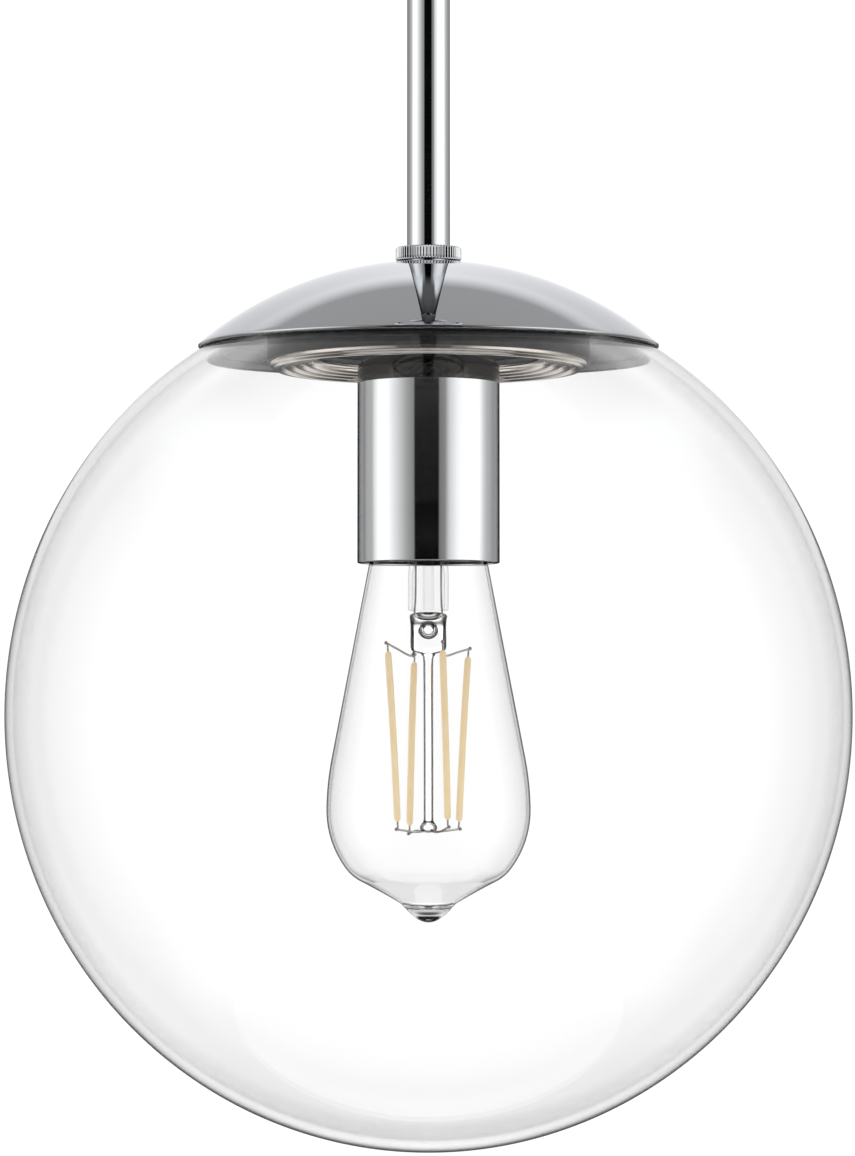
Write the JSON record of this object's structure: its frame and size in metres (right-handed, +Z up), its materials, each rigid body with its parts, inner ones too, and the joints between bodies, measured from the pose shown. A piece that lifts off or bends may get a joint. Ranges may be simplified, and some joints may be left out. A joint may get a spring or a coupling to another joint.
{
  "type": "globe pendant ceiling light",
  "caption": "Clear blown-glass globe with a chrome dome cap and lamp cup, hung on a chrome tube stem from a swivelling round ceiling canopy.",
  "frame": {"origin": "on the ceiling plane, on the axis of the light, midway between the two outlet-box screws", "axes": "+Z up into the ceiling, +X along the crossbar and the swivel pivot, +Y towards the back, -Y towards the viewer"},
  "size_m": [0.25, 0.25, 0.6535],
  "materials": {
    "chrome": "polished chrome plate",
    "zinc_steel": "zinc-plated steel",
    "green_earth": "green-dyed zinc plate",
    "dark_steel": "black oxide",
    "silicone": "translucent white silicone",
    "dark_rubber": "black rubber",
    "clear_bond": "clear cured adhesive",
    "globe_glass": "clear blown glass",
    "ceramic": "glazed porcelain",
    "brass": "rolled brass",
    "bulb_glass": "clear lamp glass",
    "nickel": "nickel plate",
    "black_glass": "black vitrite glass",
    "solder": "soft solder",
    "phosphor": "pale amber phosphor coating"
  },
  "bodies": {
    "ceiling_plate": {"crossbar": "zinc_steel", "box_screws": "zinc_steel", "ground_screw": "green_earth", "canopy": "chrome", "canopy_collar": "chrome"},
    "swivel_fork": {"swivel_yoke": "chrome", "swivel_top_nut": "zinc_steel", "swivel_pivot": "chrome"},
    "stem_assembly": {"swivel_tongue": "chrome", "upper_nipple": "zinc_steel", "stem_upper": "chrome", "stem_coupler": "zinc_steel", "stem_lower": "chrome", "lower_nipple": "zinc_steel", "stem_lock_nut": "zinc_steel", "holder_disc": "chrome", "holder_nut": "zinc_steel", "cup_spacer": "zinc_steel", "socket_cup": "chrome", "cup_nut": "zinc_steel", "socket_bracket": "zinc_steel", "bracket_screws": "zinc_steel", "socket_insulator": "ceramic", "socket_screw_shell": "brass", "socket_contact": "brass", "terminal_screws": "brass"},
    "cap_assembly": {"dome_cap": "chrome", "cap_gasket": "silicone"},
    "collar_assembly": {"collar": "chrome", "collar_set_screw": "dark_steel"},
    "seal_washer": {"globe_washer": "silicone"},
    "globe_assembly": {"globe_glass": "globe_glass", "globe_ring": "chrome", "ring_bond": "clear_bond", "mouth_gasket": "dark_rubber"},
    "lamp": {"bulb_glass": "bulb_glass", "bulb_screw_shell": "nickel", "bulb_base_insulator": "black_glass", "bulb_contact": "solder", "bulb_stem_press": "bulb_glass", "bulb_support_rod": "bulb_glass", "bulb_filaments": "phosphor", "bulb_tabs": "nickel", "bulb_lead_wires": "nickel", "bulb_hub_wires": "nickel"}
  },
  "joints": [
    {"name": "swivel_turn", "type": "hinge", "parent": "ceiling_plate", "child": "swivel_fork", "pos_m": [0, 0, 0], "axis": [0, 0, 1], "range_deg": [-175, 175]},
    {"name": "swivel_tilt", "type": "hinge", "parent": "swivel_fork", "child": "stem_assembly", "pos_m": [0, 0, -0.054], "axis": [1, 0, 0], "range_deg": [-45, 45]},
    {"name": "cap_lift", "type": "slide", "parent": "stem_assembly", "child": "cap_assembly", "axis": [0, 0, 1], "range_m": [0, 0.08]},
    {"name": "collar_turn", "type": "hinge", "parent": "cap_assembly", "child": "collar_assembly", "pos_m": [0, 0, -0.3729], "axis": [0, 0, 1], "continuous": true},
    {"name": "globe_lower", "type": "slide", "parent": "stem_assembly", "child": "seal_washer", "axis": [0, 0, -1], "range_m": [0, 0.2]},
    {"name": "globe_turn", "type": "hinge", "parent": "seal_washer", "child": "globe_assembly", "pos_m": [0, 0, -0.5089], "axis": [0, 0, 1], "continuous": true},
    {"name": "bulb_unscrew", "type": "slide", "parent": "stem_assembly", "child": "lamp", "axis": [0, 0, -1], "range_m": [0, 0.03]}
  ]
}
